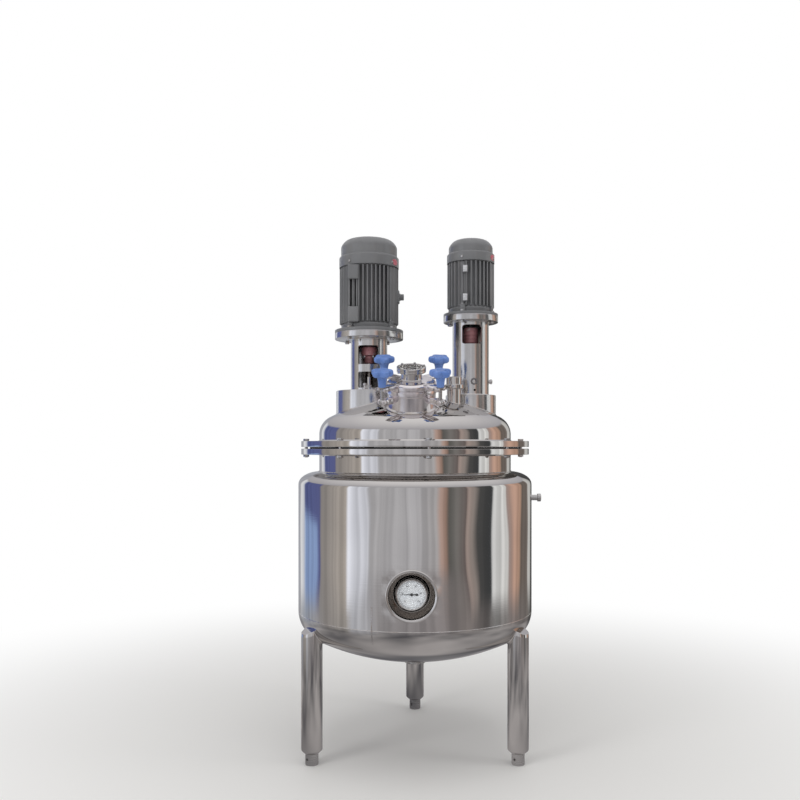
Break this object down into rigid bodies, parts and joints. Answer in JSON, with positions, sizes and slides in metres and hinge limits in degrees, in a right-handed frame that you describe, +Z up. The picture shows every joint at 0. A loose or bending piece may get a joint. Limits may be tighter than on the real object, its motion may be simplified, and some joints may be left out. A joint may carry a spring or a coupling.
{
  "type": "stirred tank reactor",
  "caption": "Jacketed stainless steel stirred tank reactor on three legs, with two top-mounted motor drives, a hand hole with sight glass and a dial gauge.",
  "frame": {"origin": "on the floor, under the middle of the part's outer box", "axes": "+Z up along the vessel's axis, -Y to the front where the dial gauge and hand hole are, +X to the right-hand drive"},
  "size_m": [0.888, 0.877, 1.845],
  "materials": {
    "polished_steel": "mirror polished stainless steel",
    "satin_steel": "satin machined stainless steel",
    "motor_paint": "dark grey semi-gloss paint",
    "blue_plastic": "moulded, semi-gloss",
    "maroon_paint": "satin paint",
    "black_rubber": "matt",
    "white_dial": "satin white",
    "needle_black": "matt black",
    "clear_glass": "clear"
  },
  "bodies": {
    "vessel": {"inner_vessel": "polished_steel", "jacket": "polished_steel", "gasket": "black_rubber", "lid": "polished_steel", "gauge_pocket": "polished_steel", "gauge_case": "satin_steel", "dial_face": "white_dial", "dial_glass": "clear_glass", "jacket_nozzle_high": "satin_steel", "jacket_nozzle_low": "satin_steel", "bottom_outlet": "satin_steel", "leg_left": "polished_steel", "leg_right": "polished_steel", "leg_rear": "polished_steel", "left_seat": "polished_steel", "left_lantern": "polished_steel", "left_motor": "motor_paint", "left_fan_cowl": "motor_paint", "left_seal_housing": "satin_steel", "right_seat": "polished_steel", "right_lantern": "polished_steel", "right_motor": "motor_paint", "right_fan_cowl": "motor_paint", "right_seal_housing": "satin_steel", "manway_neck": "polished_steel", "manway_cover": "polished_steel", "sight_glass_body": "polished_steel", "sight_glass_lens": "clear_glass", "port_ferrule": "polished_steel", "port_clamp": "polished_steel", "flange_bolt_1": "satin_steel", "flange_bolt_2": "satin_steel", "flange_bolt_3": "satin_steel", "flange_bolt_4": "satin_steel", "flange_bolt_5": "satin_steel", "flange_bolt_6": "satin_steel", "flange_bolt_7": "satin_steel", "flange_bolt_8": "satin_steel"},
    "left_agitator": {"left_shaft": "polished_steel", "left_coupling_low": "maroon_paint", "left_coupling_high": "maroon_paint", "left_rotor": "satin_steel", "disperser_disc": "polished_steel"},
    "right_agitator": {"right_shaft": "polished_steel", "right_coupling_low": "maroon_paint", "right_coupling_high": "maroon_paint", "right_rotor": "satin_steel", "blade_turbine": "polished_steel"},
    "gauge_pointer": {"dial_needle": "needle_black"},
    "levelling_foot_left": {"foot_left": "satin_steel"},
    "levelling_foot_right": {"foot_right": "satin_steel"},
    "levelling_foot_rear": {"foot_rear": "satin_steel"},
    "bolt_rear_right": {"swing_bolt_rear_right": "satin_steel"},
    "star_knob_rear_right": {"knob_rear_right": "blue_plastic"},
    "bolt_rear_left": {"swing_bolt_rear_left": "satin_steel"},
    "star_knob_rear_left": {"knob_rear_left": "blue_plastic"},
    "bolt_front_left": {"swing_bolt_front_left": "satin_steel"},
    "star_knob_front_left": {"knob_front_left": "blue_plastic"},
    "bolt_front_right": {"swing_bolt_front_right": "satin_steel"},
    "star_knob_front_right": {"knob_front_right": "blue_plastic"}
  },
  "joints": [
    {"name": "left_agitator_spin", "type": "hinge", "parent": "vessel", "child": "left_agitator", "pos_m": [-0.188, -0.007, 1], "axis": [0, 0, 1], "continuous": true},
    {"name": "right_agitator_spin", "type": "hinge", "parent": "vessel", "child": "right_agitator", "pos_m": [0.186, -0.007, 1], "axis": [0, 0, 1], "continuous": true},
    {"name": "pointer_turn", "type": "hinge", "parent": "vessel", "child": "gauge_pointer", "pos_m": [-0.03, -0.402, 0.615], "axis": [0, -1, 0], "range_deg": [-225, 45]},
    {"name": "foot_left_screw_turn", "type": "hinge", "parent": "vessel", "child": "levelling_foot_left", "pos_m": [-0.3732, -0.2115, 0.03], "axis": [0, 0, 1], "range_deg": [-360, 360]},
    {"name": "foot_right_screw_turn", "type": "hinge", "parent": "vessel", "child": "levelling_foot_right", "pos_m": [0.3352, -0.2115, 0.03], "axis": [0, 0, 1], "range_deg": [-360, 360]},
    {"name": "foot_rear_screw_turn", "type": "hinge", "parent": "vessel", "child": "levelling_foot_rear", "pos_m": [-0.019, 0.402, 0.03], "axis": [0, 0, 1], "range_deg": [-360, 360]},
    {"name": "bolt_rear_right_swing", "type": "hinge", "parent": "vessel", "child": "bolt_rear_right", "pos_m": [0.06375, -0.16584, 1.29845], "axis": [-0.7071, 0.6661, 0.2374], "range_deg": [0, 40]},
    {"name": "knob_rear_right_turn", "type": "hinge", "parent": "bolt_rear_right", "child": "star_knob_rear_right", "pos_m": [0.06375, -0.19303, 1.37475], "axis": [0, -0.3357, 0.942], "range_deg": [0, 720]},
    {"name": "bolt_rear_left_swing", "type": "hinge", "parent": "vessel", "child": "bolt_rear_left", "pos_m": [-0.12575, -0.16584, 1.29845], "axis": [-0.7071, -0.6661, -0.2374], "range_deg": [0, 40]},
    {"name": "knob_rear_left_turn", "type": "hinge", "parent": "bolt_rear_left", "child": "star_knob_rear_left", "pos_m": [-0.12575, -0.19303, 1.37475], "axis": [0, -0.3357, 0.942], "range_deg": [0, 720]},
    {"name": "bolt_front_left_swing", "type": "hinge", "parent": "vessel", "child": "bolt_front_left", "pos_m": [-0.12575, -0.34435, 1.23483], "axis": [0.7071, -0.6661, -0.2374], "range_deg": [0, 90]},
    {"name": "knob_front_left_turn", "type": "hinge", "parent": "bolt_front_left", "child": "star_knob_front_left", "pos_m": [-0.12575, -0.37154, 1.31113], "axis": [0, -0.3357, 0.942], "range_deg": [0, 720]},
    {"name": "bolt_front_right_swing", "type": "hinge", "parent": "vessel", "child": "bolt_front_right", "pos_m": [0.06375, -0.34435, 1.23483], "axis": [0.7071, 0.6661, 0.2374], "range_deg": [0, 90]},
    {"name": "knob_front_right_turn", "type": "hinge", "parent": "bolt_front_right", "child": "star_knob_front_right", "pos_m": [0.06375, -0.37154, 1.31113], "axis": [0, -0.3357, 0.942], "range_deg": [0, 720]}
  ]
}
